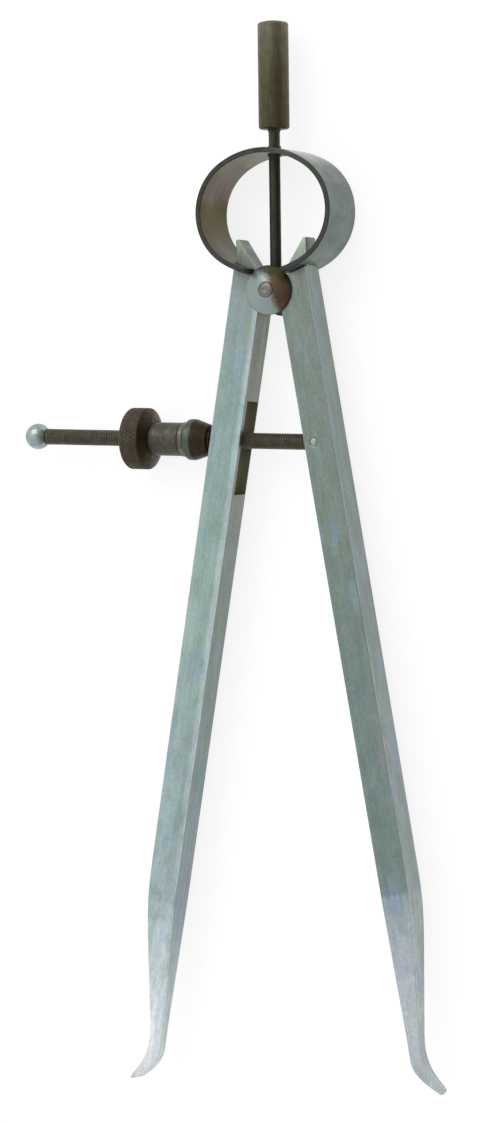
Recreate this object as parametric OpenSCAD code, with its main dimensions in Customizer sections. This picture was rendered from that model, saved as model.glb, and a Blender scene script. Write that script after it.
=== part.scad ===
// Inside spring caliper, lying on its back: bow spring, two out-toed legs, screw and nut.
// Lengths are in millimetres. The fulcrum, the stem and both legs share the plane z = rest_z.

/* [Reach] */
// Distance from the fulcrum centre to each toe tip
leg_len = 200; // [160:1:260]
// Angle of each leg from the stem at rest, in degrees
rest_angle = 9.8; // [8:0.1:12]

/* [Legs] */
// Depth of the leg stock from front to back
leg_depth = 8; // [6:0.1:10]
// Width of a leg at the fulcrum
leg_w_top = 8.2; // [7:0.1:10]
// Width of a leg at the knee, where the end taper starts
leg_w_knee = 7.6; // [5:0.1:10]
// Distance of the inner edge of a leg from the fulcrum centre
leg_inner = 2.3; // [1.8:0.1:3]
// Length of the tapered end from the knee to the toe tip
taper_len = 46; // [30:1:60]
// Length of the easing on each side of the knee
knee_ease = 9; // [4:0.5:14]
// Width of a leg just above its toe
neck_w = 3.9; // [2.8:0.1:5]
// Depth of a leg just above its toe
neck_depth = 3; // [2:0.1:4]
// Distance that the tapered end leans inward at the toe
neck_in = 0.9; // [0:0.1:1.4]

/* [Toes] */
// Distance of the toe tip outside the inner edge of the leg at the toe
toe_reach = 7.1; // [4:0.1:10]
// Angle of the toe from the leg, in degrees
toe_angle = 40; // [30:1:48]
// Distance that the underside of the toe runs on down the leg while it turns outward
toe_belly = 3.8; // [2:0.1:5]
// Width of the toe at its tip
tip_w = 1.5; // [0.8:0.1:2]
// Depth of the toe at its tip
tip_depth = 1.8; // [1:0.1:2.6]

/* [Lugs] */
// Height of the lug tips above the fulcrum centre
lug_top = 12.8; // [10:0.1:14]
// Angle of the inner edge of a lug from the stem, in degrees
lug_lean = 32; // [30:0.5:34]
// Distance of the line of that edge from the fulcrum centre
lug_offset = 0.6; // [0.5:0.1:1.3]
// Depth of a lug from front to back
lug_depth = 5.4; // [3:0.1:6]
// Distance from the fulcrum centre up the leg to its shoulder corner
shoulder_rise = 4.5; // [4:0.1:5]

/* [Bow spring] */
// Height of the centre of the bow above the fulcrum centre
bow_y = 19.2; // [19:0.1:20]
// Half of the width of the bow over its outside
bow_rx = 18.2; // [17:0.1:20]
// Half of the height of the bow over its outside
bow_ry = 15.6; // [15.2:0.1:16]
// Radius of the two side arcs of the bow over their outside
bow_side_r = 14.5; // [13:0.1:15]
// Thickness of the bow strip
bow_t = 1.3; // [0.9:0.1:1.6]
// Width of the bow strip from front to back
bow_w = 15.2; // [12:0.1:18]
// Gap between the two ends of the bow
bow_gap = 10; // [9:0.1:11]

/* [Fulcrum] */
// Radius of the drum that the legs rock on
drum_r = 4.5; // [4:0.1:5]
// Radius of the two flanges that keep the legs on the drum
flange_r = 6.1; // [5.6:0.1:6.4]
// Thickness of a flange at its rim
flange_rim = 0.5; // [0.3:0.1:1]
// Height of the dome on a flange
flange_dome = 1.7; // [1:0.1:2.2]
// Diameter of the fulcrum pin
pin_d = 3.8; // [3:0.1:4.2]
// Distance that the fulcrum pin stands out of each dome
pin_proud = 0.2; // [0.1:0.1:0.6]

/* [Handle] */
// Diameter of the grip
handle_d = 7.6; // [6:0.1:10]
// Length of the grip
handle_len = 26.7; // [18:0.1:40]
// Diameter of the stem below the grip
stem_d = 2.8; // [2:0.1:3]
// Length of stem that shows between the bow and the grip
stem_shown = 4.8; // [3:0.1:10]
// Diameter of the collar on the stem at the crown of the bow
collar_d = 3.3; // [3.2:0.1:4]

/* [Adjusting screw] */
// Diameter of the screw over its thread
screw_d = 4; // [3.4:0.1:4.2]
// Angle of the screw from square to the stem at rest, in degrees
screw_tilt = 2.1; // [0:0.1:3]
// Distance of the screw pivot from the fulcrum centre, down the leg
pivot_down = 38.8; // [34:0.1:46]
// Distance of the screw pivot from the inner edge of the right leg
pivot_in = 2.6; // [2.4:0.1:3.2]
// Distance from the screw pivot to the centre of the ball end
screw_len = 78.4; // [70:0.1:90]
// Radius of the eye of the screw around its pivot
eye_r = 2.6; // [2.2:0.1:3]
// Thickness of that eye
eye_t = 3.2; // [2.6:0.1:3.3]
// Diameter of the screw pivot pin
pivot_d = 2; // [1.6:0.1:2.4]
// Diameter of the ball end
ball_d = 6.5; // [5.5:0.1:8]
// Diameter of the plain neck that the ball is fixed on
ball_neck_d = 2.9; // [2.2:0.1:3.2]
// Length of the slot in the left leg
slot_len = 23; // [20:0.5:28]
// Thickness of the left leg behind its slot
slot_wall = 0.5; // [0.4:0.1:1.6]

/* [Nut and seat washer] */
// Radius of the round nose of the seat washer
nose_r = 5; // [4.5:0.1:5.5]
// Diameter of that nose
nose_d = 5.6; // [5.2:0.1:6.4]
// Diameter of the inner face that the nose stands out of
face_d = 7.4; // [6.6:0.1:8]
// Distance of that face from the centre of the nose
face_at = 3.7; // [3:0.1:3.8]
// Diameter of the bead round the seat washer
bead_d = 10.2; // [9:0.1:11]
// Width of the bead at its top
bead_w = 1.5; // [0.8:0.1:2]
// Distance of the middle of the bead outside the centre of the nose
bead_at = 1.2; // [0:0.1:1.6]
// Diameter of the plain band at the outer end of the seat washer
washer_d = 8.6; // [8:0.1:9]
// Length of that band
band_len = 1.2; // [0.8:0.1:1.6]
// Length of the seat washer outside the centre of its nose
washer_back = 3.9; // [3.4:0.1:6]
// Diameter of the hub of the nut
hub_d = 8.3; // [7.5:0.1:9]
// Length of the hub of the nut
hub_len = 8; // [4:0.1:10]
// Diameter of the knurled rim of the nut
nut_d = 15.3; // [12:0.1:18]
// Width of the knurled rim of the nut
rim_w = 5; // [4:0.1:8]
// Length of the bevel between the rim and the hub
bevel_len = 1.5; // [1:0.1:4]
// Diameter of the small end of that bevel
bevel_d = 9.8; // [9:0.1:11]

/* [Fits] */
// Radial clearance of pieces that turn or slide on each other
run_gap = 0.06; // [0.04:0.01:0.1]
// Radial clearance of pieces that are fixed in each other
fixed_gap = 0.04; // [0.03:0.01:0.06]
// Gap at seats that rock
seat_gap = 0.15; // [0.1:0.01:0.2]
// Clearance of the screw on each side in its slot and mortise
slot_gap = 0.28; // [0.2:0.02:0.4]

/* [Hidden] */
$fn = 64;
eps = 0.01;
edge_chamfer = 0.4;
knee_steps = 4;
toe_steps = 6;
toe_lead = 1.5;
dome_steps = 8;
slot_drop = 0.72;

// A point in the right leg's own directions, outward and down the leg, placed as it lies at rest
function leg_pt(out, down) =
    [out * cos(rest_angle) + down * sin(rest_angle), out * sin(rest_angle) - down * cos(rest_angle)];

// A point of a quadratic curve from a to c that leans towards b
function curve_pt(a, b, c, t) = (1 - t) * (1 - t) * a + 2 * t * (1 - t) * b + t * t * c;

// A point at a distance from a on the way to b
function toward(a, b, distance) = a + (b - a) * distance / norm(b - a);

// Stations down the leg
leg_outer = leg_inner + leg_w_top;
bend_in = leg_inner - neck_in;
tip_out = bend_in + toe_reach;
tip_down = sqrt(leg_len * leg_len - tip_out * tip_out);
knee_down = tip_down - taper_len;
bend_down = tip_down - toe_reach / tan(toe_angle);
neck_down = bend_down - toe_lead * neck_w;
knee_out = leg_inner + leg_w_knee;
neck_out = bend_in + neck_w;

// The knee: the outer edge of the leg eases into the tapered end
knee = [knee_out, knee_down];
knee_from = toward(knee, [leg_outer, 0], knee_ease);
knee_to = toward(knee, [neck_out, neck_down], knee_ease);
knee_curve = [for (i = [0 : knee_steps]) curve_pt(knee_from, knee, knee_to, i / knee_steps)];

// The toe: the tip is cut square to the toe, its upper side curves out of the leg and its underside is full
tip_half = tip_w / 2 * [cos(toe_angle), -sin(toe_angle)];
tip_upper = [tip_out, tip_down] + tip_half;
tip_lower = [tip_out, tip_down] - tip_half;
taper_slope = (neck_out - knee_out) / (neck_down - knee_down);
toe_corner = [neck_out + taper_slope * (bend_down - neck_down), bend_down];
toe_meet = (toe_corner + tip_upper) / 2;
toe_curve = [for (i = [0 : toe_steps])
    curve_pt([neck_out, neck_down], toe_corner, toe_meet, i / toe_steps)];
toe_under = [for (i = [0 : toe_steps])
    curve_pt(tip_lower, [bend_in, bend_down + toe_belly], [bend_in, bend_down], i / toe_steps)];

// The lug: its outer edge stands upright on the shoulder corner, its inner edge leans from the stem
shoulder = leg_pt(leg_outer, -shoulder_rise);
lug_foot = lug_offset * [cos(lug_lean), -sin(lug_lean)];
lug_run = (lug_top - lug_foot[1]) / cos(lug_lean);
lug_tip = [lug_foot[0] + lug_run * sin(lug_lean), lug_top];

// The bow: four arcs that meet without a corner, given by their outer radii and centres
side_x = bow_rx - bow_side_r;
bow_cap_r = (bow_side_r * bow_side_r - bow_ry * bow_ry - side_x * side_x) / (2 * (bow_side_r - bow_ry));
cap_y = bow_cap_r - bow_ry;
cap_lean = atan2(side_x, cap_y);
crown_y = bow_y + bow_ry;

// Depths at the fulcrum
flange_z = leg_depth / 2 + run_gap;
dome_z = flange_z + flange_rim;
dome_ball_r = (flange_r * flange_r + flange_dome * flange_dome) / (2 * flange_dome);
pin_len = 2 * (dome_z + flange_dome + pin_proud);
stem_foot = pin_d / 2 + run_gap;
handle_y = crown_y + stem_shown;
handle_top = handle_y + handle_len;

// The screw line: stations along it from the pivot in the right leg, negative towards the left leg.
// The nose of the washer stands at its gap from the outer edge of the left leg.
pivot_out = leg_inner + pivot_in;
pivot = leg_pt(pivot_out, pivot_down);
slot_half = screw_d / 2 + slot_gap;
edge_slope = (leg_w_knee - leg_w_top) / knee_down;
seat_out = leg_outer + edge_slope * pivot_down;
span_out = seat_out + nose_r + pivot_out * cos(2 * rest_angle) + pivot_down * sin(2 * rest_angle);
nose_x = -seat_gap - span_out / cos(rest_angle - screw_tilt);
washer_end = nose_x - washer_back;
nut_seat = washer_end - run_gap;
hub_end = nut_seat - hub_len;
bevel_end = hub_end - bevel_len;
nut_end = bevel_end - rim_w;
ball_x = -screw_len;
ball_seat = sqrt(ball_d * ball_d - screw_d * screw_d) / 2;
neck_x = ball_x + ball_seat + fixed_gap;

// The box of the whole caliper, for the origin under its middle
tip_far = leg_pt(tip_upper[0], tip_upper[1]);
tip_low = leg_pt(tip_lower[0], tip_lower[1]);
ball_far = pivot[0] - screw_len * cos(screw_tilt) - ball_d / 2;
mid_x = (ball_far + tip_far[0]) / 2;
mid_y = (handle_top + tip_low[1]) / 2;
rest_z = max(nut_d, bow_w) / 2;

// Puts a piece that is drawn about the fulcrum centre into its place over the origin
module placed() {
    translate([-mid_x, -mid_y, rest_z])
        children();
}

// Puts a piece that is drawn along X from the pivot onto the screw line
module on_screw() {
    translate([pivot[0], pivot[1], 0])
        rotate([0, 0, -screw_tilt])
            children();
}

// A round bar along X from one x to another
module bar_x(x0, x1, r) {
    translate([x0, 0, 0])
        rotate([0, 90, 0])
            cylinder(h = x1 - x0, r = r);
}

// A profile of radius and length turned about X, with its zero at x
module turned(x) {
    translate([x, 0, 0])
        rotate([0, 90, 0])
            rotate_extrude()
                children();
}

// The filled outline of the bow, with its edge moved outward by grow
module bow_outline(grow) {
    reach = side_x + (bow_side_r + grow) * sin(cap_lean);
    translate([0, bow_y]) {
        for (side = [-1, 1])
            translate([side * side_x, 0])
                circle(r = bow_side_r + grow);
        intersection() {
            translate([0, cap_y])
                circle(r = bow_cap_r + grow);
            translate([0, -cap_y])
                circle(r = bow_cap_r + grow);
            square([2 * reach, 2 * (bow_ry + grow + eps)], center = true);
        }
    }
}

// The right leg as seen from the front, lug and toe included
module leg_outline() {
    polygon(concat(
        [lug_foot, lug_tip, [shoulder[0], lug_top], shoulder],
        [leg_pt(leg_outer, 0)],
        [for (p = concat(knee_curve, toe_curve, [tip_upper], toe_under)) leg_pt(p[0], p[1])],
        [leg_pt(leg_inner, knee_down), leg_pt(leg_inner, 0)]));
}

// The leg as seen from the side, up to its full depth, thinned from the knee to the toe
module leg_side_form() {
    half = leg_depth / 2;
    top = lug_top * 2;
    end = tip_down + tip_w;
    rotate([0, 0, rest_angle])
        rotate([90, 0, 90])
            linear_extrude(height = 4 * leg_outer, center = true)
                polygon([[top, half], [-knee_down, half], [-neck_down, neck_depth / 2], [-end, tip_depth / 2],
                         [-end, -tip_depth / 2], [-neck_down, -neck_depth / 2], [-knee_down, -half],
                         [top, -half]]);
}

// A right leg without its screw hole: shoulders for the bow's forked end, hollow for the drum
module leg_blank() {
    difference() {
        intersection() {
            linear_extrude(height = leg_depth, center = true)
                leg_outline();
            leg_side_form();
        }
        cylinder(h = 2 * leg_depth, r = drum_r + run_gap, center = true);
        for (face = [-1, 1])
            translate([0, 0, face * (lug_depth + leg_depth) / 2])
                linear_extrude(height = leg_depth, center = true)
                    bow_outline(seat_gap);
    }
}

// Grip, stem and crown collar, turned from one bar
module handle() {
    grip_r = handle_d / 2;
    dome = 0.5;
    dome_r = grip_r - edge_chamfer;
    dome_ball = (dome_r * dome_r + dome * dome) / (2 * dome);
    flare = 0.8;
    flare_r = stem_d / 2 + 0.4;
    collar_half = bow_t;
    collar_mid = crown_y - bow_t / 2;
    stem_r = stem_d / 2;
    collar_r = collar_d / 2;
    color("#4b4432")
        placed()
            rotate([-90, 0, 0])
                rotate_extrude()
                    polygon(concat(
                        [[0, stem_foot], [stem_r, stem_foot]],
                        [[stem_r, collar_mid - collar_half], [collar_r, collar_mid - collar_half]],
                        [[collar_r, collar_mid + collar_half], [stem_r, collar_mid + collar_half]],
                        [[stem_r, handle_y - flare], [flare_r, handle_y]],
                        [[grip_r - edge_chamfer, handle_y], [grip_r, handle_y + edge_chamfer]],
                        [[grip_r, handle_top - dome - edge_chamfer]],
                        [for (i = [0 : dome_steps])
                            let (r = dome_r * (1 - i / dome_steps))
                            [r, handle_top - dome_ball + sqrt(dome_ball * dome_ball - r * r)]]));
}

// One flat strip bent to an oval, forked at both ends and holed at its crown
module bow_spring() {
    fork_end = shoulder[0] + seat_gap;
    color("#73797a")
        placed()
            difference() {
                linear_extrude(height = bow_w, center = true)
                    difference() {
                        bow_outline(0);
                        bow_outline(-bow_t);
                    }
                translate([-bow_gap / 2, 0, -bow_w])
                    cube([bow_gap, bow_y, 2 * bow_w]);
                translate([-fork_end, 0, -lug_depth / 2 - seat_gap])
                    cube([2 * fork_end, bow_y, lug_depth + 2 * seat_gap]);
                cylinder(h = 2 * bow_w, r = flange_r + 2 * seat_gap, center = true);
                translate([0, crown_y - 2 * bow_t, 0])
                    rotate([-90, 0, 0])
                        cylinder(h = 3 * bow_t, r = collar_d / 2 + run_gap);
            }
}

// A turned drum between two domed flanges, cross-drilled for the stem
module fulcrum_roller() {
    color("#4a3b30")
        placed()
            difference() {
                union() {
                    cylinder(h = 2 * flange_z, r = drum_r, center = true);
                    for (face = [-1, 1])
                        rotate([face > 0 ? 0 : 180, 0, 0]) {
                            translate([0, 0, flange_z])
                                cylinder(h = flange_rim, r = flange_r);
                            intersection() {
                                translate([0, 0, dome_z])
                                    cylinder(h = flange_dome + 1, r = flange_r);
                                translate([0, 0, dome_z + flange_dome - dome_ball_r])
                                    sphere(r = dome_ball_r);
                            }
                        }
                }
                cylinder(h = 2 * pin_len, r = pin_d / 2 + fixed_gap, center = true);
                rotate([-90, 0, 0])
                    cylinder(h = 2 * drum_r, r = stem_d / 2 + fixed_gap);
            }
}

// The pin through the roller, with its ends dressed round
module fulcrum_pin() {
    color("#8a8782")
        placed()
            intersection() {
                cylinder(h = pin_len, r = pin_d / 2, center = true);
                sphere(r = pin_len / 2);
            }
}

// The leg that the screw passes through, with its long slot near the back
module left_leg() {
    slot_mid = pivot_down + slot_drop;
    color("#8c9b96")
        placed()
            mirror([1, 0, 0])
                difference() {
                    leg_blank();
                    rotate([0, 0, rest_angle])
                        rotate([0, 90, 0])
                            linear_extrude(height = 2 * leg_outer)
                                translate([-slot_half, -slot_mid - slot_len / 2])
                                    square([slot_half + leg_depth / 2 - slot_wall, slot_len]);
                }
}

// The leg that carries the screw on a cross pin in a mortise
module right_leg() {
    room = eye_r + slot_gap;
    swing_room = pivot_in * tan(3 * rest_angle);
    color("#7d8a84")
        placed()
            difference() {
                leg_blank();
                rotate([0, 0, rest_angle])
                    translate([pivot_out, -pivot_down, 0]) {
                        cylinder(h = 2 * slot_half, r = room, center = true);
                        translate([-pivot_out, -room, -slot_half])
                            cube([pivot_out, 2 * room + swing_room, 2 * slot_half]);
                        cylinder(h = 2 * leg_depth, r = pivot_d / 2 + fixed_gap, center = true);
                    }
            }
}

// The cross pin in the right leg, flush with both faces
module screw_pivot_pin() {
    color("#6f7470")
        placed()
            translate([pivot[0], pivot[1], 0])
                cylinder(h = leg_depth, r = pivot_d / 2, center = true);
}

// The rod with its eye on the cross pin and a plain neck for the ball
module adjusting_screw() {
    color("#554e46")
        placed()
            on_screw()
                difference() {
                    union() {
                        cylinder(h = eye_t, r = eye_r, center = true);
                        bar_x(neck_x, -eye_r / 2, screw_d / 2);
                        bar_x(ball_x, neck_x + eps, ball_neck_d / 2);
                    }
                    cylinder(h = 2 * screw_d, r = pivot_d / 2 + run_gap, center = true);
                }
}

// The ball on the free end of the screw, faced for its shoulder and drilled blind for its neck
module ball_end() {
    ball_r = ball_d / 2;
    bore_r = ball_neck_d / 2 + fixed_gap;
    color("#96aaa5")
        placed()
            on_screw()
                turned(ball_x)
                    difference() {
                        intersection() {
                            circle(r = ball_r);
                            translate([0, -ball_r])
                                square([ball_r, ball_r + ball_seat]);
                        }
                        translate([-bore_r, -fixed_gap])
                            square([2 * bore_r, ball_d]);
                    }
}

// The washer: its nose rocks on the left leg, with a bead and a plain band behind it
module seat_washer() {
    bore_r = screw_d / 2 + run_gap;
    color("#463a32")
        placed()
            on_screw()
                turned(nose_x)
                    difference() {
                        union() {
                            intersection() {
                                circle(r = nose_r);
                                square([nose_d / 2, nose_r]);
                            }
                            polygon([[0, -washer_back], [washer_d / 2, -washer_back],
                                     [washer_d / 2, band_len - washer_back], [bead_d / 2, -bead_at - bead_w / 2],
                                     [bead_d / 2, bead_w / 2 - bead_at], [face_d / 2, face_at], [0, face_at]]);
                        }
                        translate([-bore_r, -2 * washer_back])
                            square([2 * bore_r, 4 * washer_back]);
                    }
}

// The turned nut: hub, bevel and rim in one piece
module knurled_nut() {
    bore_r = screw_d / 2 + run_gap;
    nut_r = nut_d / 2;
    hub_x = hub_end - nut_end;
    bevel_x = bevel_end - nut_end;
    seat_end = nut_seat - nut_end;
    color("#463a32")
        placed()
            on_screw()
                turned(nut_end)
                    polygon([[bore_r, 0], [nut_r - edge_chamfer, 0], [nut_r, edge_chamfer], [nut_r, bevel_x],
                             [bevel_d / 2, hub_x], [hub_d / 2, hub_x], [hub_d / 2, seat_end],
                             [bore_r, seat_end]]);
}

handle();
bow_spring();
fulcrum_roller();
fulcrum_pin();
left_leg();
right_leg();
screw_pivot_pin();
adjusting_screw();
ball_end();
seat_washer();
knurled_nut();
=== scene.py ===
"""Looks of the inside spring caliper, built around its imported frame.

Shapes are worked out in millimetres from the fulcrum centre and put into the frame in metres.
"""

import math

import bmesh
import bpy
import numpy as np
from mathutils import Matrix, Vector


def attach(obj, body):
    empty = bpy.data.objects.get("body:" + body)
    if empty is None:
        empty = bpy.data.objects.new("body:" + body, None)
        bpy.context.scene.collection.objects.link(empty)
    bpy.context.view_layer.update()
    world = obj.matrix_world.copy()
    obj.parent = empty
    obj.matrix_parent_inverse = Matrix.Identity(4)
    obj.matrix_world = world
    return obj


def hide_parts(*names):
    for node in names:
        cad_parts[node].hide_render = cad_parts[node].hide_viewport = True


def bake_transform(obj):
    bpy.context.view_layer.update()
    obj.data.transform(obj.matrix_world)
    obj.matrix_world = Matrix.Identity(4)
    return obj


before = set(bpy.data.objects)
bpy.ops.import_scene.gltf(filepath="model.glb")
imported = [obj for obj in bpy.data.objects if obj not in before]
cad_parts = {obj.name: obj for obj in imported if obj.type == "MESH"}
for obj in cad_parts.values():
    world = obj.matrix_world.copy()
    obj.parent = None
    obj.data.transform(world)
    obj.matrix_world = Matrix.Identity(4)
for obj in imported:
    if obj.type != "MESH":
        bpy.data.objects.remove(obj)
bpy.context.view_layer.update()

MM = 0.001
FULCRUM = np.array([13.6468, 64.8648, 7.65])
LEG_LEAN = math.radians(9.8)
SCREW_TILT = math.radians(2.1)
PIVOT = np.array([11.4326, -37.3998, 0])

# Bow: radii of its caps and sides, how far their centres are from its middle, its strip and hole, and
# its fork: half its width, how far from the middle line it starts, and where the strip ends
BOW_Y = 19.2
CAP_R = 21.27
SIDE_R = 14.5
CAP_SHIFT = 5.67
SIDE_SHIFT = 3.7
STRIP_WALL = 1.3
STEM_HOLE_R = 1.71
FORK_HALF = 2.85
FORK_X = 9.731
FOOT_X = 5

# Edges nearer to the fulcrum than this are hidden under the roller's flange
UNDER_FLANGE = 5.4

# Radii of the screw, the bores on it, the ball, the nut's rim and its hub, then the thread and knurl
SCREW_R = 2.0
BORE_R = 2.06
BALL_R = 3.25
RIM_R = 7.65
HUB_R = 4.15
PITCH = 0.7
THREAD_DEPTH = 0.2
KNURL_LINES = 44
KNURL_DEPTH = 0.17

# Stations along the screw line from the pivot, negative towards the ball
NOSE_X = -33.4303
WASHER_END = -37.3303
NUT_SEAT = -37.3903
HUB_END = -45.3903
BEVEL_END = -46.8903
NUT_END = -51.8903
SHOULDER_X = -75.8383
BALL_X = -78.4

# Each set of directions is the axis of a turned piece and the two directions around it
ALONG_SCREW = np.array([[math.cos(SCREW_TILT), -math.sin(SCREW_TILT), 0],
                        [math.sin(SCREW_TILT), math.cos(SCREW_TILT), 0],
                        [0, 0, 1.0]])
ALONG_Y = np.array([[0, 1.0, 0], [0, 0, 1.0], [1.0, 0, 0]])
ALONG_Z = np.array([[0, 0, 1.0], [1.0, 0, 0], [0, 1.0, 0]])


def mesh_piece(name, points, faces, sharp=32):
    """Puts points in millimetres from the fulcrum, and faces that point outward, into a new object."""
    mesh = bpy.data.meshes.new(name)
    mesh.from_pydata(((points + FULCRUM) * MM).tolist(), [], faces)
    mesh.polygons.foreach_set("use_smooth", np.ones(len(faces), bool))
    mesh.set_sharp_from_angle(angle=math.radians(sharp))
    mesh.update()
    piece = bpy.data.objects.new(name, mesh)
    bpy.context.scene.collection.objects.link(piece)
    return piece


def rounded(profile, cut):
    """Rounds the inner corners of an open profile.

    Each corner becomes a quadratic curve that leaves its edges at the cut length, or at 0.45 of
    the shorter edge, and leans towards the corner.
    """
    p = np.asarray(profile, float)
    before = p[:-2] - p[1:-1]
    after = p[2:] - p[1:-1]
    len_b = np.linalg.norm(before, axis=1)
    len_a = np.linalg.norm(after, axis=1)
    back = np.minimum(np.broadcast_to(cut, len_b.shape), 0.45 * np.minimum(len_a, len_b))
    start = p[1:-1] + before * (back / len_b)[:, None]
    end = p[1:-1] + after * (back / len_a)[:, None]
    t = np.linspace(0, 1, 5)[None, :, None]
    bend = (1 - t) ** 2 * start[:, None] + 2 * t * (1 - t) * p[1:-1][:, None] + t**2 * end[:, None]
    path = np.concatenate([p[:1], bend.reshape(-1, 2), p[-1:]])
    apart = np.linalg.norm(np.diff(path, axis=0), axis=1) > 1e-6
    return path[np.concatenate([[True], apart])]


def dense(profile, step):
    """Adds points along a profile, so that they are at most a step apart and keep its corners."""
    p = np.asarray(profile, float)
    run = np.concatenate([[0], np.cumsum(np.linalg.norm(np.diff(p, axis=0), axis=1))])
    at = np.union1d(run, np.arange(0, run[-1], step))
    at = at[np.concatenate([[True], np.diff(at) > 1e-5])]
    return np.stack([np.interp(at, run, p[:, 0]), np.interp(at, run, p[:, 1])], axis=1)


def turned(name, profile, directions, origin, count=96, relief=None, sharp=32):
    """A profile of (along, radius) carried round an axis.

    Point = origin + axis * along + (radius + relief) * (first * cos a + second * sin a), for the
    angles a of a full turn. A profile that ends on the axis gets one pole point there; one that
    comes back to its start is closed on itself.
    """
    p = np.asarray(profile, float)
    looped = np.allclose(p[0], p[-1])
    rows = p[:-1] if looped else p[1:-1]
    angle = np.linspace(0, 2 * np.pi, count, endpoint=False)[None, :]
    along = rows[:, :1] + 0 * angle
    radius = rows[:, 1:] + 0 * angle
    if relief is not None:
        radius = radius + relief(along, angle, radius)
    axis, first, second = directions
    around = first * np.cos(angle)[..., None] + second * np.sin(angle)[..., None]
    points = (origin + along[..., None] * axis + radius[..., None] * around).reshape(-1, 3)
    n = len(rows)
    here = np.arange(n * count).reshape(n, count)
    if looped:
        here = np.concatenate([here, here[:1]])
    side = np.roll(here, -1, axis=1)
    quads = np.stack([here[:-1], side[:-1], side[1:], here[1:]], axis=-1).reshape(-1, 4)
    faces = quads.tolist()
    if not looped:
        poles = origin + np.outer(p[[0, -1], 0], axis)
        points = np.concatenate([points, poles])
        low = np.full(count, n * count)
        faces += np.stack([low, side[0], here[0]], axis=-1).tolist()
        faces += np.stack([here[-1], side[-1], low + 1], axis=-1).tolist()
    return mesh_piece(name, points, faces, sharp)


def strip_solid(name, outer, inner, keep, seam):
    """A bent strip between two grids of points, with the cells that keep leaves out cut away.

    The cells of both grids give its broad faces. Where a kept cell has no kept neighbour, a quad
    between the grids gives its edge. Edges are eased by a narrow bevel, but not at the seam.
    """
    rows, cols = outer.shape[:2]
    out_id = np.arange(rows * cols).reshape(rows, cols)
    corner = np.stack([out_id[:-1, :-1], out_id[1:, :-1], out_id[1:, 1:], out_id[:-1, 1:]], axis=-1)
    broad = corner[keep]
    faces = [broad, broad[:, ::-1] + rows * cols]
    wide = np.pad(keep, 1)
    for step, a, b in (((-1, 0), (0, 0), (0, 1)), ((1, 0), (1, 1), (1, 0)),
                       ((0, -1), (1, 0), (0, 0)), ((0, 1), (0, 1), (1, 1))):
        beside = wide[1 + step[0]:rows + step[0], 1 + step[1]:cols + step[1]]
        i, j = np.nonzero(keep & ~beside)
        from_o = out_id[i + a[0], j + a[1]]
        to_o = out_id[i + b[0], j + b[1]]
        faces.append(np.stack([from_o, to_o, to_o + rows * cols, from_o + rows * cols], axis=-1))
    points = np.concatenate([outer.reshape(-1, 3), inner.reshape(-1, 3)])
    piece = mesh_piece(name, points, np.concatenate(faces).tolist())
    soften(piece, 0.2, seam)
    return piece


def soften(piece, width, seam=None, crisp=None):
    """Bevels the outward edges of a mesh by a width in millimetres.

    Edges that lie in the seam plane x, in the crisp plane z or under the roller's flange keep their
    corner.
    """
    bm = bmesh.new()
    bm.from_mesh(piece.data)
    bmesh.ops.remove_doubles(bm, verts=bm.verts, dist=2e-6)
    loose = [v for v in bm.verts if not v.link_faces]
    bmesh.ops.delete(bm, geom=loose, context="VERTS")
    bmesh.ops.dissolve_limit(bm, angle_limit=math.radians(0.6), verts=bm.verts, edges=bm.edges)
    bmesh.ops.recalc_face_normals(bm, faces=bm.faces)
    turn = math.radians(35)
    edges = [e for e in bm.edges if e.is_manifold and e.calc_face_angle_signed(0) > turn]
    hub = Vector((FULCRUM * MM).tolist())
    edges = [e for e in edges if any((v.co - hub).xy.length > UNDER_FLANGE * MM for v in e.verts)]
    for axis, plane in ((0, seam), (2, crisp)):
        if plane is not None:
            at = (plane + FULCRUM[axis]) * MM
            edges = [e for e in edges if any(abs(v.co[axis] - at) > 1e-5 for v in e.verts)]
    bmesh.ops.bevel(bm, geom=edges, offset=width * MM, segments=2, profile=0.5,
                    affect="EDGES", clamp_overlap=False)
    bmesh.ops.remove_doubles(bm, verts=bm.verts, dist=2e-6)
    bm.to_mesh(piece.data)
    bm.free()
    mesh = piece.data
    mesh.polygons.foreach_set("use_smooth", np.ones(len(mesh.polygons), bool))
    mesh.set_sharp_from_angle(angle=math.radians(14))
    mesh.update()


def eased_copy(name, node, width, crisp=None, corner=None):
    """A merged copy of a CAD node's mesh with its sharp edges eased.

    Corner gives two places in x and y: the points at the first are drawn most of the way to the
    second, as first + 0.6 * (second - first).
    """
    piece = bpy.data.objects.new(name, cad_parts[node].data.copy())
    piece.data.materials.clear()
    if corner is not None:
        place = np.empty(3 * len(piece.data.vertices), np.float32)
        piece.data.vertices.foreach_get("co", place)
        place = place.reshape(-1, 3)
        first, second = (np.array(corner) + FULCRUM[:2]) * MM
        at_first = np.linalg.norm(place[:, :2] - first, axis=1) < 0.05 * MM
        place[at_first, :2] = first + 0.6 * (second - first)
        piece.data.vertices.foreach_set("co", place.ravel())
    bpy.context.scene.collection.objects.link(piece)
    soften(piece, width, crisp=crisp)
    return piece


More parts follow.
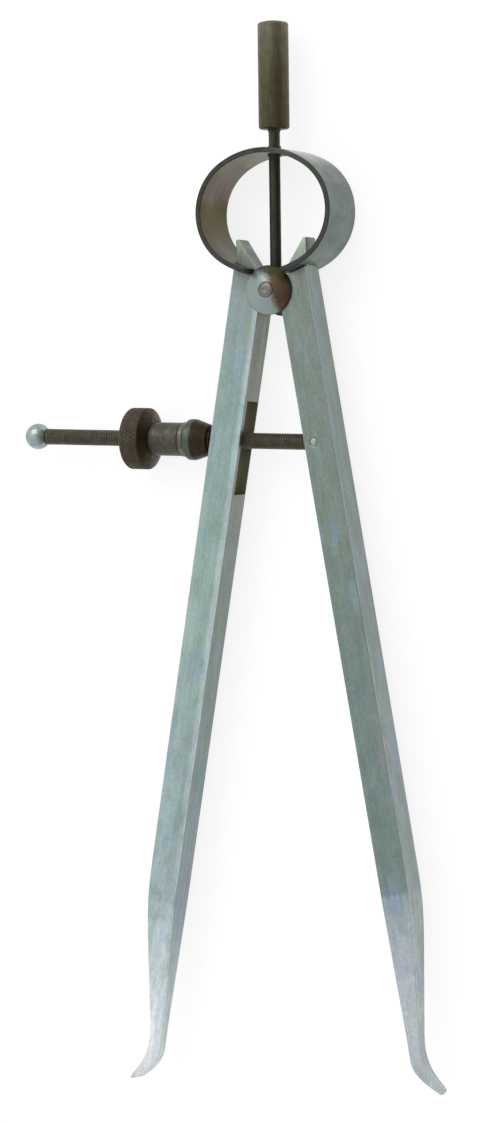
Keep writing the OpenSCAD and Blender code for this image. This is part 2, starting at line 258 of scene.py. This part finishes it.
def bow_half(name, side):
    """Half of the bow: an oval of four arcs, forked at its foot and holed for the stem at its crown.

    The point at angle a is centre + radius * (cos a, sin a), with the larger radius on the two caps
    and the smaller on the side, so that the arcs meet without a corner at a = 56.9 degrees up and
    down. Grid points round the hole are drawn in to its radius.
    """
    meet = math.radians(56.9)
    near = np.array([0, 0.57, 1.13, 1.7, 2.5, 3.6])
    top = np.pi / 2 - near / CAP_R
    fork = -math.acos(FORK_X / CAP_R)
    end = -math.acos(FOOT_X / CAP_R)
    a = np.concatenate([top, np.linspace(top[-1], fork, 64)[1:], np.linspace(fork, end, 6)[1:]])
    on_side = np.abs(a) < meet
    radius = np.where(on_side, SIDE_R, CAP_R)
    centre_x = np.where(on_side, SIDE_SHIFT, 0)
    centre_y = BOW_Y - np.where(on_side, 0, CAP_SHIFT * np.sign(a))
    centre = np.stack([centre_x, centre_y], axis=1)
    ahead = np.array([0.85, 1.7, 2.85, 3.9, 5.1, 6.4, 7.6])
    z = np.concatenate([-ahead[::-1], [0], ahead])
    run = np.concatenate([[0], np.cumsum(np.abs(np.diff(a)) * CAP_R)])[:, None] + 0 * z
    across = z[None, :] + 0 * run
    square = np.maximum(run, np.abs(across))
    ring = (square > 1.69) & (square < 1.72)
    pull = np.where(ring, STEM_HOLE_R / np.maximum(np.hypot(run, across), 1e-9), 1.0)
    lift = np.where(ring, np.pi / 2 - run * pull / CAP_R, a[:, None])
    way = np.stack([np.cos(lift), np.sin(lift)], axis=-1)
    grids = []
    for depth in (0.0, STRIP_WALL):
        base = centre[:, None] + (radius - depth)[:, None, None] * way
        grids.append(np.concatenate([base * [side, 1], (across * pull)[..., None]], axis=-1))
    mid_run = (run[1:, 1:] + run[:-1, :-1]) / 2
    mid_z = np.abs(across[1:, 1:] + across[:-1, :-1]) / 2
    mid_a = ((a[1:] + a[:-1]) / 2)[:, None]
    keep = ~((mid_run < 1.7) & (mid_z < 1.7)) & ~((mid_a < fork) & (mid_z < FORK_HALF))
    return strip_solid(name, grids[0], grids[1], keep, 0.0)


def thread(along, angle, radius):
    """Cut of a right-hand thread, faded out at the shoulder.

    It is a triangle wave of along / pitch - angle / turn, flat at its crests.
    """
    wave = np.abs(2 * ((along / PITCH - angle / (2 * np.pi)) % 1) - 1)
    fade = np.clip((along - SHOULDER_X - PITCH) / 0.6, 0, 1)
    return -THREAD_DEPTH * np.clip(1.25 * wave - 0.25, 0, 1) * fade


def knurl(along, angle, radius):
    """Crossed grooves on the rim: the deeper of two families of lines that slant both ways."""
    slant = 2 * np.pi * (along - NUT_END) / 1.7
    groove = np.maximum(np.cos(KNURL_LINES * angle + slant), np.cos(KNURL_LINES * angle - slant))
    on_rim = np.clip((radius - RIM_R + 0.3) / 0.2, 0, 1)
    return -KNURL_DEPTH * np.clip(groove * 1.6 - 0.6, 0, 1) * on_rim


# Camera: fitted to the photograph's edges, in millimetres from the fulcrum, its focal length in pixels
FOCAL_PIXELS = 4693
PHOTO_HEIGHT = 1123
SENSOR = 36
azimuth = math.radians(26.05)
elevation = math.radians(0.57)
roll = math.radians(-0.73)
back = np.array([math.sin(azimuth) * math.cos(elevation), math.sin(elevation),
                 math.cos(azimuth) * math.cos(elevation)])
right = np.cross([0, 1, 0], back)
right = right / np.linalg.norm(right)
up = np.cross(back, right)
right, up = (math.cos(roll) * right + math.sin(roll) * up,
             math.cos(roll) * up - math.sin(roll) * right)
eye = (np.array([-11.25, -66.43, 0]) + 1158.1 * back + FULCRUM) * MM
facing = Matrix(np.stack([right, up, back], axis=1).tolist()).to_4x4()
camera = bpy.data.objects.new("camera", bpy.data.cameras.new("camera"))
camera.data.lens = FOCAL_PIXELS / PHOTO_HEIGHT * SENSOR
camera.matrix_world = Matrix.Translation(eye.tolist()) @ facing
bpy.context.scene.collection.objects.link(camera)
bpy.context.scene.camera = camera


def paint(red, green, blue):
    """The linear colour of a screen colour of 0 to 255."""
    c = np.array([red, green, blue]) / 255
    linear = np.where(c < 0.04, c / 12.92, ((c + 0.055) / 1.055) ** 2.4)
    return tuple(linear.tolist())


class Finish:
    """A procedural metal finish: one Principled shader and the nodes that feed it."""

    def __init__(self, name, metallic, angle=0.0, centre=(0, 0, 0)):
        """Reads Object coordinates from the centre, in millimetres, turned about Z by the angle."""
        self.material = bpy.data.materials.new(name)
        self.material.use_nodes = True
        self.tree = self.material.node_tree
        self.tree.nodes.clear()
        surface = self.tree.nodes.new("ShaderNodeOutputMaterial")
        self.shader = self.tree.nodes.new("ShaderNodeBsdfPrincipled")
        self.shader.inputs["Metallic"].default_value = metallic
        self.join(self.shader.outputs["BSDF"], surface.inputs["Surface"])
        place = self.tree.nodes.new("ShaderNodeTexCoord")
        turn = self.tree.nodes.new("ShaderNodeMapping")
        spot = Matrix.Rotation(angle, 3, "Z") @ Vector((np.array(centre) + FULCRUM).tolist())
        turn.inputs["Scale"].default_value = (1 / MM, 1 / MM, 1 / MM)
        turn.inputs["Rotation"].default_value = (0, 0, angle)
        turn.inputs["Location"].default_value = -spot
        self.join(place.outputs["Object"], turn.inputs["Vector"])
        self.here = turn.outputs["Vector"]
        split = self.tree.nodes.new("ShaderNodeSeparateXYZ")
        self.join(self.here, split.inputs["Vector"])
        self.x, self.y, self.z = split.outputs

    def join(self, a, b):
        """Links an output to an input."""
        self.tree.links.new(a, b)

    def noise(self, size, detail, rough):
        """Noise whose blotches are about size millimetres along X, Y and Z of the turned place."""
        scale = self.tree.nodes.new("ShaderNodeMapping")
        scale.inputs["Scale"].default_value = [1 / s for s in size]
        self.join(self.here, scale.inputs["Vector"])
        node = self.tree.nodes.new("ShaderNodeTexNoise")
        node.inputs["Scale"].default_value = 1.0
        node.inputs["Detail"].default_value = detail
        node.inputs["Roughness"].default_value = rough
        self.join(scale.outputs["Vector"], node.inputs["Vector"])
        return node.outputs["Fac"]

    def ramp(self, value, stops):
        """Colours at their places along a value in millimetres."""
        first, last = stops[0][0], stops[-1][0]
        node = self.tree.nodes.new("ShaderNodeValToRGB")
        band = node.color_ramp
        band.elements[0].color = (*stops[0][1], 1)
        band.elements[1].color = (*stops[-1][1], 1)
        for spot, colour in stops[1:-1]:
            band.elements.new((spot - first) / (last - first)).color = (*colour, 1)
        self.join(self.span(value, first, last, 0, 1), node.inputs["Fac"])
        return node.outputs["Color"]

    def mix(self, share, a, b, way="MIX"):
        """Colour a where the share is 0 and colour b where it is 1, or a changed by b in another way."""
        node = self.tree.nodes.new("ShaderNodeMix")
        node.data_type = "RGBA"
        node.blend_type = way
        for value, socket in ((share, node.inputs[0]), (a, node.inputs[6]), (b, node.inputs[7])):
            if isinstance(value, tuple):
                socket.default_value = (*value, 1)
            elif isinstance(value, float):
                socket.default_value = value
            else:
                self.join(value, socket)
        return node.outputs[2]

    def span(self, value, low, high, to_low, to_high):
        """A value carried from one span to another, held at the ends."""
        node = self.tree.nodes.new("ShaderNodeMapRange")
        numbers = (low, high, to_low, to_high)
        for socket, number in zip(("From Min", "From Max", "To Min", "To Max"), numbers):
            node.inputs[socket].default_value = number
        self.join(value, node.inputs["Value"])
        return node.outputs["Result"]

    def math(self, way, a, b):
        """Two values, or a value and a number, put together in the named way."""
        node = self.tree.nodes.new("ShaderNodeMath")
        node.operation = way
        for value, socket in ((a, node.inputs[0]), (b, node.inputs[1])):
            if isinstance(value, float):
                socket.default_value = value
            else:
                self.join(value, socket)
        return node.outputs["Value"]

    def sum(self, a, b, times):
        """a + times * b."""
        node = self.tree.nodes.new("ShaderNodeMath")
        node.operation = "MULTIPLY_ADD"
        self.join(b, node.inputs[0])
        node.inputs[1].default_value = times
        self.join(a, node.inputs[2])
        return node.outputs["Value"]

    def within(self, *limits):
        """1 inside a box of (value, low, high) limits and 0 outside it, with an edge of 0.1 mm."""
        share = None
        for value, low, high in limits:
            rise = self.span(value, low, low + 0.1, 0, 1)
            fall = self.span(value, high - 0.1, high, 1, 0)
            both = self.math("MULTIPLY", rise, fall)
            share = both if share is None else self.math("MULTIPLY", share, both)
        return share

    def shade(self, colour, tone, low, high, depth):
        """A colour made darker and lighter by the depth as a tone goes from low to high."""
        return self.mix(1.0, colour, self.span(tone, low, high, 1 - depth, 1 + depth), "MULTIPLY")

    def bump(self, height, strength, depth):
        """Relief of a depth in millimetres from a height between 0 and 1."""
        node = self.tree.nodes.new("ShaderNodeBump")
        node.inputs["Strength"].default_value = strength
        node.inputs["Distance"].default_value = depth * MM
        self.join(height, node.inputs["Height"])
        self.join(node.outputs["Normal"], self.shader.inputs["Normal"])

    def finish(self, colour, roughness):
        """Feeds the shader its colour and roughness, and gives the material."""
        self.join(colour, self.shader.inputs["Base Color"])
        self.join(roughness, self.shader.inputs["Roughness"])
        return self.material


# Temper tints of the legs: size of the blotches, span of the noise that they take, share and colour
LEG_TINTS = [((3.6, 11, 3.6), 0.54, 0.7, 0.36, (142, 160, 188)),
             ((2.6, 9, 5), 0.56, 0.72, 0.34, (148, 138, 142)),
             ((3, 7, 4), 0.52, 0.66, 0.34, (132, 154, 128))]


def leg_steel(name, lean, front, side, ridge_highlight, worn, slot):
    """Drawn and ground flat steel with fine grain down the leg, faint temper tints and a toe ground
    clean of them.

    Front and side are colours down the leg, in millimetres from the fulcrum, with light and shade
    painted into them, as lighter and darker copies of one steel's colour. The front is where the
    height over the leg's own taper passes 3.7 mm. The ridge colours are a painted highlight on the
    eased edge between them and on the lug's front edges, worn is the span across the leg where a
    painted highlight brightens the front, and slot the box inside the leg that keeps its dark scale.
    """
    f = Finish(name, 0.9, lean)
    grain = f.noise((0.3, 15, 0.3), 4, 0.6)
    wide = f.noise((1.2, 30, 1.2), 3, 0.5)
    cloud = f.noise((3.2, 8, 3.2), 3, 0.55)
    tone = f.sum(f.sum(grain, wide, 0.8), cloud, 0.9)
    down = f.sum(f.math("MULTIPLY", f.y, -1.0), wide, 0.5)
    thin = f.math("ADD", f.span(f.y, -154, -185.5, 0, 2.5), f.span(f.y, -185.5, -200, 0, 0.6))
    height = f.math("ADD", f.z, thin)
    # Painted light and shade: the front and side ramps are lighter and darker copies of one steel's
    # colour
    broad = f.ramp(down, [(spot, paint(*colour)) for spot, colour in front])
    # Painted highlight: a pale band along the front of the leg, across the span given by worn
    highlighted = f.mix(0.55, broad, paint(190, 206, 210))
    broad = f.mix(f.span(f.sum(f.x, cloud, 0.8), worn[0], worn[1], 0, 1), broad, highlighted)
    edge = f.ramp(down, [(spot, paint(*colour)) for spot, colour in side])
    steel = f.mix(f.span(height, 3.66, 3.8, 0, 1), edge, broad)
    # Painted highlight on the eased edge between front and side
    lit = f.ramp(down, [(spot, paint(*colour)) for spot, colour in ridge_highlight])
    steel = f.mix(f.within((height, 3.66, 3.99)), steel, lit)
    # Painted highlight on the lug's front edges
    steel = f.mix(f.within((f.z, 2.3, 2.69), (f.y, 3, 20)), steel, lit)
    scaled = f.span(f.y, -165, -185, 1, 0.2)
    for size, low, high, share, tint in LEG_TINTS:
        blotch = f.span(f.noise(size, 2, 0.5), low, high, 0, share)
        steel = f.mix(f.math("MULTIPLY", blotch, scaled), steel, paint(*tint))
    steel = f.shade(steel, tone, 0.95, 1.75, 0.13)
    steel = f.shade(steel, f.noise((0.8, 1.1, 0.8), 3, 0.6), 0.3, 0.7, 0.1)
    dark = f.within((f.x, *slot[0]), (f.y, *slot[1]), (f.z, *slot[2]))
    steel = f.mix(dark, steel, paint(150, 146, 116))
    f.bump(grain, 0.3, 0.03)
    return f.finish(steel, f.span(tone, 0.95, 1.75, 0.5, 0.38))


def spring_steel(name):
    """Tempered strip with a dark blanked rim, pale at the crown.

    It is grey-green on the right. On the left its temper colours run up the strip in ragged bands.
    """
    f = Finish(name, 0.9)
    grain = f.noise((7, 7, 0.25), 4, 0.6)
    patch = f.noise((6, 6, 8), 3, 0.55)
    stain = f.noise((2.6, 2.6, 4), 3, 0.6)
    tone = f.sum(grain, patch, 0.8)
    steel = f.ramp(f.sum(f.x, patch, 6.0), [
        (-16, paint(88, 83, 58)), (-9, paint(100, 96, 84)), (0, paint(110, 108, 100)),
        (8, paint(108, 117, 111)), (20, paint(114, 127, 123))])
    steel = f.mix(f.span(stain, 0.52, 0.68, 0, 0.45), steel, paint(108, 94, 84))
    up = f.sum(f.sum(f.y, f.noise((3, 3, 3), 3, 0.6), 9.0), stain, 4.0)
    temper = f.ramp(up, [
        (8, paint(104, 102, 92)), (18, paint(98, 92, 70)), (23, paint(92, 84, 46)),
        (27, paint(92, 82, 44)), (30, paint(114, 100, 94)), (35, paint(114, 104, 94)),
        (38, paint(116, 106, 84)), (43, paint(142, 144, 136))])
    steel = f.mix(f.span(f.x, -1, -9, 0, 0.85), steel, temper)
    crown = f.math("MULTIPLY", f.span(f.y, 30, 34, 0, 1), f.span(f.x, 1, 4, 0, 0.9))
    steel = f.mix(crown, steel, paint(206, 212, 208))
    steel = f.shade(steel, tone, 0.65, 1.15, 0.16)
    rim = f.span(f.math("ABSOLUTE", f.z, 0.0), 7.2, 7.45, 0, 0.95)
    steel = f.mix(rim, steel, f.mix(stain, paint(34, 38, 33), paint(78, 80, 72)))
    f.bump(grain, 0.3, 0.03)
    return f.finish(steel, f.span(tone, 0.65, 1.15, 0.5, 0.38))


def browned(name, size, stops, along="x", tilt=0.0, centre=(0, 0, 0), metallic=0.7, painted_light_slope=0.0):
    """Turned and browned steel: colours along a piece, streaks of the given size and worn patches.

    The slope is the share by which the colour is painted darker at x = -3.8 and lighter at x = 3.8,
    painted shade on the left and painted light on the right.
    """
    f = Finish(name, metallic, tilt, centre)
    streak = f.noise(size, 4, 0.6)
    patch = f.noise((1.8, 2.4, 1.8), 3, 0.55)
    tone = f.sum(streak, patch, 0.8)
    colour = f.ramp(getattr(f, along), [(spot, paint(*shown)) for spot, shown in stops])
    colour = f.shade(colour, tone, 0.65, 1.15, 0.3)
    # Painted shade and light across x, by the slope
    colour = f.shade(colour, f.x, -3.8, 3.8, painted_light_slope)
    worn = f.noise((1.1, 1.6, 1.1), 4, 0.6)
    colour = f.mix(f.span(worn, 0.56, 0.74, 0, 0.18), colour, paint(116, 112, 98))
    f.bump(streak, 0.35, 0.04)
    return f.finish(colour, f.span(tone, 0.65, 1.15, 0.52, 0.38))


def roller_finish(name):
    """Browned roller with painted light: grey on the left leg's side, with a ragged border, darker at
    its top.
    """
    f = Finish(name, 0.9)
    ragged = f.noise((0.9, 0.9, 0.9), 4, 0.6)
    cloud = f.noise((2.2, 2.2, 2.2), 3, 0.55)
    lean = f.sum(f.sum(f.x, f.y, 0.25), ragged, 2.4)
    # Painted light: the face is a lit grey on the side of the left leg and brown beyond the ragged
    # border
    painted_light_grey = f.mix(cloud, paint(128, 142, 140), paint(146, 160, 157))
    brown = f.mix(cloud, paint(76, 57, 40), paint(98, 82, 62))
    colour = f.mix(f.span(lean, 1.7, 3.3, 0, 1), painted_light_grey, brown)
    high = f.span(f.sum(f.sum(f.y, f.x, 0.35), ragged, 1.6), 3.4, 5.2, 0, 0.9)
    colour = f.mix(high, colour, paint(44, 43, 18))
    rim = f.span(f.math("ABSOLUTE", f.z, 0.0), 4.62, 4.5, 0, 0.6)
    colour = f.mix(rim, colour, paint(84, 84, 72))
    f.bump(ragged, 0.25, 0.03)
    return f.finish(colour, f.span(cloud, 0.3, 0.7, 0.3, 0.42))


def bright(name, dark, light, rough, size):
    """Polished steel with faint cloudy marks of the given size."""
    f = Finish(name, 0.95)
    cloud = f.noise((size, size, size), 4, 0.6)
    colour = f.mix(f.span(cloud, 0.35, 0.65, 0, 1), paint(*dark), paint(*light))
    f.bump(cloud, 0.2, 0.02)
    return f.finish(colour, f.span(cloud, 0.3, 0.7, rough, rough + 0.14))


def dress(piece, material, slot, body, *nodes):
    """Gives a piece its finish and the body it rides on, and hides the nodes it stands for. The slot is
    not used.
    """
    piece.data.materials.clear()
    piece.data.materials.append(material)
    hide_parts(*nodes)
    if body:
        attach(piece, body)
    return piece


# Legs: painted light and shade as lighter and darker copies of one steel; the left leg's front is
# painted lighter than its side, the right leg's front darker than its side
left_steel_and_painted_light = leg_steel(
    "steel_left", LEG_LEAN,
    [(-14, (100, 103, 95)), (-4, (106, 111, 104)), (2, (138, 152, 148)), (30, (140, 163, 159)),
     (80, (156, 178, 171)), (130, (162, 182, 182)), (158.6, (168, 185, 186)), (159.4, (186, 203, 205)),
     (170, (196, 207, 209)), (181, (220, 226, 228)), (188, (240, 240, 242)), (200, (211, 209, 215))],
    [(-14, (110, 113, 104)), (0, (124, 128, 119)), (40, (134, 140, 132)), (80, (134, 145, 138)),
     (130, (132, 150, 152)), (158.6, (150, 162, 172)), (159.4, (150, 165, 172)), (181, (186, 200, 200)),
     (200, (206, 212, 214))],
    [(-14, (170, 176, 170)), (0, (222, 230, 230)), (200, (222, 230, 230))],
    (-3.6, -2.8), ((-10.3, -2.45), (-51.1, -27.9), (-3.6, 2.3)))
right_steel_and_painted_light = leg_steel(
    "steel_right", -LEG_LEAN,
    [(-14, (150, 152, 136)), (-4, (138, 143, 131)), (2, (122, 133, 125)), (60, (119, 134, 127)),
     (150.6, (116, 134, 130)), (151.4, (144, 162, 167)), (169, (182, 187, 194)), (182, (188, 195, 197)),
     (191, (186, 191, 194)), (196, (172, 182, 185)), (200, (178, 187, 190))],
    [(-14, (158, 160, 142)), (0, (132, 145, 142)), (60, (134, 149, 147)), (150.6, (148, 161, 161)),
     (151.4, (158, 169, 171)), (182, (174, 181, 184)), (200, (176, 184, 188))],
    [(-14, (190, 194, 180)), (0, (172, 184, 181)), (150, (176, 188, 185)), (165, (208, 215, 219)),
     (200, (208, 215, 219))],
    (30, 31), ((2.45, 10.3), (-46, -31), (-2.9, 2.9)))
bow_steel = spring_steel("steel_bow")
# Grip: its browning with painted shade on its left and painted light on its right, evening out the light
# from the left
grip_browning_and_painted_light = browned(
    "browned_grip", (0.45, 9, 0.45),
    [(0, (44, 47, 37)), (20, (46, 50, 41)), (38.9, (54, 57, 43)), (39.5, (68, 62, 40)),
     (52, (74, 69, 43)), (62, (97, 93, 74)), (66.3, (102, 99, 80))], "y", metallic=0.5, painted_light_slope=0.14)
rod_brown = browned(
    "browned_rod", (5, 0.4, 0.4), [(-76, (80, 77, 62)), (-40, (78, 75, 60)), (3, (78, 75, 60))],
    "x", SCREW_TILT, PIVOT)
# Nut and washer: browned, with light and shade painted into the colours along the screw. The dark band
# on the nut's bevel from rim to hub is painted shade, the pale band at the washer's back end a painted
# highlight, and the dark brown of the washer's nose a painted reflection.
nut_browning_and_painted_light = browned(
    "browned_nut", (0.5, 1.2, 1.2),
    [(-52, (70, 64, 49)), (-46.9, (62, 53, 37)), (-46.7, (56, 42, 16)), (-45.5, (56, 42, 16)),
     (-45.3, (75, 72, 61)), (-37.4, (78, 76, 66)), (-37.3, (98, 100, 92)), (-36, (98, 100, 92)),
     (-35, (82, 88, 80)), (-33.9, (80, 86, 78)), (-33.5, (51, 41, 26)), (-28, (54, 43, 29))],
    "x", SCREW_TILT, PIVOT)
roller_browning_and_painted_light = roller_finish("browned_roller")
pin_grey = bright("ground_pin", (104, 102, 98), (134, 128, 126), 0.34, 0.8)
rivet_grey = bright("ground_rivet", (128, 142, 138), (168, 180, 178), 0.34, 0.8)
ball_bright = bright("polished_ball", (132, 149, 146), (164, 182, 180), 0.16, 1.6)

# Legs: the lower corner of the left toe's tip is drawn in, so that the toe ends narrower
toe_corners = [(-41.903, -196.030), (-42.871, -194.884)]
left_leg = eased_copy("leg_left", "left_leg", 0.28, -3.5, toe_corners)
dress(left_leg, left_steel_and_painted_light, "leg_steel", "left_leg", "left_leg")
dress(eased_copy("leg_right", "right_leg", 0.28), right_steel_and_painted_light, "leg_steel", "right_leg", "right_leg")

# Bow: one half on each side of its crown, from the crown down to its fork at its leg
for name, side, body in (("bow_left", -1, "left_leg"), ("bow_right", 1, "right_leg")):
    half = dress(bow_half(name, side), bow_steel, "spring_steel", None, "bow_spring")
    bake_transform(half)

# Grip and stem: a collar that goes through the bow's hole, and a crown on the grip's end
STEM_R = 1.4
COLLAR_R = 1.65
GRIP_R = 3.8
GRIP_TOP = 66.3
CROWN_R = 11.81
stem = [(0, 1.96), (1.96, STEM_R), (32.85, STEM_R), (32.85, COLLAR_R), (35.45, COLLAR_R),
        (35.45, STEM_R), (38.8, STEM_R), (39.6, 1.8), (39.6, GRIP_R - 0.4), (40.0, GRIP_R),
        (65.4, GRIP_R), (65.8, GRIP_R - 0.4)]
stem = rounded(stem, 0.2)
stem[0] = (1.96, 0)
crown_r = np.linspace(GRIP_R - 0.4, 0, 9)[1:]
crown = np.stack([GRIP_TOP - CROWN_R + np.sqrt(CROWN_R**2 - crown_r**2), crown_r], axis=1)
grip = turned("grip_and_stem", np.concatenate([stem, crown]), ALONG_Y, np.zeros(3))
dress(grip, grip_browning_and_painted_light, "browned_steel", "spine", "handle")

# Roller: a drum between two domed flanges, and the pin through it
DRUM_R = 4.5
DRUM_HALF = 4.06
FLANGE_R = 6.1
FLANGE_EDGE = 4.56
ROLLER_BORE = 1.94
DOME_R = 11.794
DOME_TOP = 6.26
dome_r = np.linspace(ROLLER_BORE, 5.7, 12)
dome = np.stack([DOME_TOP - (DOME_R - np.sqrt(DOME_R**2 - dome_r**2)), dome_r], axis=1)
drum = [(0, DRUM_R), (DRUM_HALF, DRUM_R), (DRUM_HALF, FLANGE_R), (FLANGE_EDGE, FLANGE_R)]
front = np.concatenate([drum, dome[::-1]])
inside = [(0, ROLLER_BORE)]
spool = np.concatenate([inside, front[::-1] * [-1, 1], front[1:], inside])
roller = turned("roller", rounded(spool, 0.3), ALONG_Z, np.zeros(3))
dress(roller, roller_browning_and_painted_light, "browned_steel", "spine", "fulcrum_roller")
pin = rounded([(-6.2, 0), (-6.42, 0.75), (-6.36, 1.2), (-6.1, 1.9), (6.1, 1.9), (6.36, 1.2),
               (6.42, 0.75), (6.2, 0)], 0.2)
pin = turned("fulcrum_pin_turned", pin, ALONG_Z, np.zeros(3), 64)
dress(pin, pin_grey, "pin_steel", "spine", "fulcrum_pin")

# Screw, its eye, its pivot pin and its ball: the thread's profile has eight points to the pitch
NECK_R = 1.45
rod = rounded([(BALL_X, 0), (BALL_X, NECK_R), (SHOULDER_X, NECK_R), (SHOULDER_X, SCREW_R - 0.3),
               (SHOULDER_X + 0.35, SCREW_R), (-1.3, SCREW_R), (-1.3, 0)], 0.1)
rod = dense(rod, PITCH / 8)
rod = rod[np.concatenate([[True], rod[1:-1, 1] > 1.3, [True]])]
rod = turned("threaded_rod", rod, ALONG_SCREW, PIVOT, 28, thread, 60)
dress(rod, rod_brown, "screw_steel", "screw", "adjusting_screw")
ring = rounded([(0, 1.06), (-1.6, 1.06), (-1.6, 2.6), (1.6, 2.6), (1.6, 1.06), (0, 1.06)], 0.15)
ring = turned("rod_eye", ring, ALONG_Z, PIVOT, 48)
dress(ring, rod_brown, "screw_steel", "screw", "adjusting_screw")
rivet = rounded([(-4.08, 0), (-4.06, 0.6), (-3.9, 1.0), (3.9, 1.0), (4.06, 0.6), (4.08, 0)], 0.15)
rivet = turned("pivot_pin", rivet, ALONG_Z, PIVOT, 40)
dress(rivet, rivet_grey, "pin_steel", "right_leg", "screw_pivot_pin")
flat = SHOULDER_X - BALL_X
sweep = np.linspace(np.pi, math.acos(flat / BALL_R), 30)
ball = np.stack([BALL_X + BALL_R * np.cos(sweep), BALL_R * np.sin(sweep)], axis=1)
ball = np.concatenate([ball, [(BALL_X + flat, 1.49), (BALL_X - 0.04, 1.49), (BALL_X - 0.04, 0)]])
ball[0] = (BALL_X - BALL_R, 0)
ball = turned("ball", ball, ALONG_SCREW, PIVOT, 64)
dress(ball, ball_bright, "bright_steel", "screw", "ball_end")

# Seat washer with a round nose, and knurled nut
NOSE_R = 5
nose = np.linspace(math.asin(2.8 / NOSE_R), math.asin(BORE_R / NOSE_R), 6)
nose = np.stack([NOSE_X + NOSE_R * np.cos(nose), NOSE_R * np.sin(nose)], axis=1)
bead = np.concatenate([[(WASHER_END, BORE_R), (WASHER_END, 4.3), (WASHER_END + 1.2, 4.3),
                        (NOSE_X - 1.95, 5.1), (NOSE_X - 0.45, 5.1), (NOSE_X + 3.7, 3.7),
                        (NOSE_X + 3.7, 2.8)], nose, [(WASHER_END, BORE_R)]])
bead = turned("seat_bead", rounded(bead, 0.25), ALONG_SCREW, PIVOT)
dress(bead, nut_browning_and_painted_light, "nut_steel", "washer", "seat_washer")
nut = rounded([(NUT_END, BORE_R), (NUT_END, RIM_R - 0.45), (NUT_END + 0.45, RIM_R), (BEVEL_END, RIM_R),
               (HUB_END, 4.9), (HUB_END, HUB_R), (NUT_SEAT - 0.3, HUB_R), (NUT_SEAT, HUB_R - 0.25),
               (NUT_SEAT, BORE_R), (NUT_END, BORE_R)], 0.15)
nut = turned("nut", dense(nut, 0.16), ALONG_SCREW, PIVOT, 8 * KNURL_LINES, knurl, 50)
dress(nut, nut_browning_and_painted_light, "nut_steel", "nut", "knurled_nut")

# Floor: white to the camera and in reflections, a plain pale grey for the light that it gives back
floor_mesh = bpy.data.meshes.new("floor")
floor_mesh.from_pydata([(-3, -3, 0), (3, -3, 0), (3, 3, 0), (-3, 3, 0)], [], [(0, 1, 2, 3)])
floor = bpy.data.objects.new("floor", floor_mesh)
bpy.context.scene.collection.objects.link(floor)
pale = bpy.data.materials.new("pale_floor")
pale.use_nodes = True
tree = pale.node_tree
tree.nodes.clear()
seen = tree.nodes.new("ShaderNodeLightPath")
either = tree.nodes.new("ShaderNodeMath")
either.operation = "MAXIMUM"
tree.links.new(seen.outputs["Is Camera Ray"], either.inputs[0])
tree.links.new(seen.outputs["Is Glossy Ray"], either.inputs[1])
any_view = tree.nodes.new("ShaderNodeMath")
any_view.operation = "MAXIMUM"
tree.links.new(either.outputs["Value"], any_view.inputs[0])
tree.links.new(seen.outputs["Is Transmission Ray"], any_view.inputs[1])
plain = tree.nodes.new("ShaderNodeBsdfDiffuse")
plain.inputs["Color"].default_value = (0.75, 0.75, 0.75, 1)
shade = tree.nodes.new("ShaderNodeBsdfDiffuse")
shade.inputs["Color"].default_value = (0.25, 0.25, 0.25, 1)
glow = tree.nodes.new("ShaderNodeEmission")
glow.inputs["Strength"].default_value = 0.82
both = tree.nodes.new("ShaderNodeAddShader")
tree.links.new(shade.outputs["BSDF"], both.inputs[0])
tree.links.new(glow.outputs["Emission"], both.inputs[1])
pick = tree.nodes.new("ShaderNodeMixShader")
tree.links.new(any_view.outputs["Value"], pick.inputs["Fac"])
tree.links.new(plain.outputs["BSDF"], pick.inputs[1])
tree.links.new(both.outputs["Shader"], pick.inputs[2])
surface = tree.nodes.new("ShaderNodeOutputMaterial")
tree.links.new(pick.outputs["Shader"], surface.inputs["Surface"])
floor.data.materials.append(pale)

# Studio: pale walls, brightest on the left, and a dim warm one on the right, white to the camera
world = bpy.data.worlds.new("studio")
bpy.context.scene.world = world
world.use_nodes = True
tree = world.node_tree
walls = tree.nodes.new("ShaderNodeTexCoord")
across = tree.nodes.new("ShaderNodeSeparateXYZ")
tree.links.new(walls.outputs["Generated"], across.inputs["Vector"])
reach = tree.nodes.new("ShaderNodeMapRange")
reach.inputs["From Min"].default_value = -1
tree.links.new(across.outputs["X"], reach.inputs["Value"])
tones = tree.nodes.new("ShaderNodeValToRGB")
wall = tones.color_ramp.elements
wall[0].color = (1.0, 1.0, 1.0, 1)
wall[1].color = (0.26, 0.22, 0.18, 1)
wall.new(0.3).color = (0.88, 0.89, 0.9, 1)
wall.new(0.6).color = (0.66, 0.67, 0.68, 1)
wall.new(0.85).color = (0.3, 0.26, 0.22, 1)
tree.links.new(reach.outputs["Result"], tones.inputs["Fac"])
light = tree.nodes["Background"]
light.inputs["Strength"].default_value = 1.1
tree.links.new(tones.outputs["Color"], light.inputs["Color"])
white = tree.nodes.new("ShaderNodeBackground")
white.inputs["Color"].default_value = (1, 1, 1, 1)
seen = tree.nodes.new("ShaderNodeLightPath")
pick = tree.nodes.new("ShaderNodeMixShader")
tree.links.new(seen.outputs["Is Camera Ray"], pick.inputs["Fac"])
tree.links.new(light.outputs["Background"], pick.inputs[1])
tree.links.new(white.outputs["Background"], pick.inputs[2])
tree.links.new(pick.outputs["Shader"], tree.nodes["World Output"].inputs["Surface"])


def lamp(name, spot, aim, size, power):
    """A square area lamp at a spot, turned to face the aim."""
    light = bpy.data.lights.new(name, "AREA")
    light.size = size
    light.energy = power
    piece = bpy.data.objects.new(name, light)
    ray = np.array(aim, float) - np.array(spot, float)
    turn = Vector(ray.tolist()).to_track_quat("-Z", "Y").to_matrix().to_4x4()
    piece.matrix_world = Matrix.Translation(spot) @ turn
    bpy.context.scene.collection.objects.link(piece)


lamp("window", (-0.5, 1.2, 1.3), (0, 0, 0), 1.4, 10)

bpy.context.scene.view_settings.view_transform = "Standard"
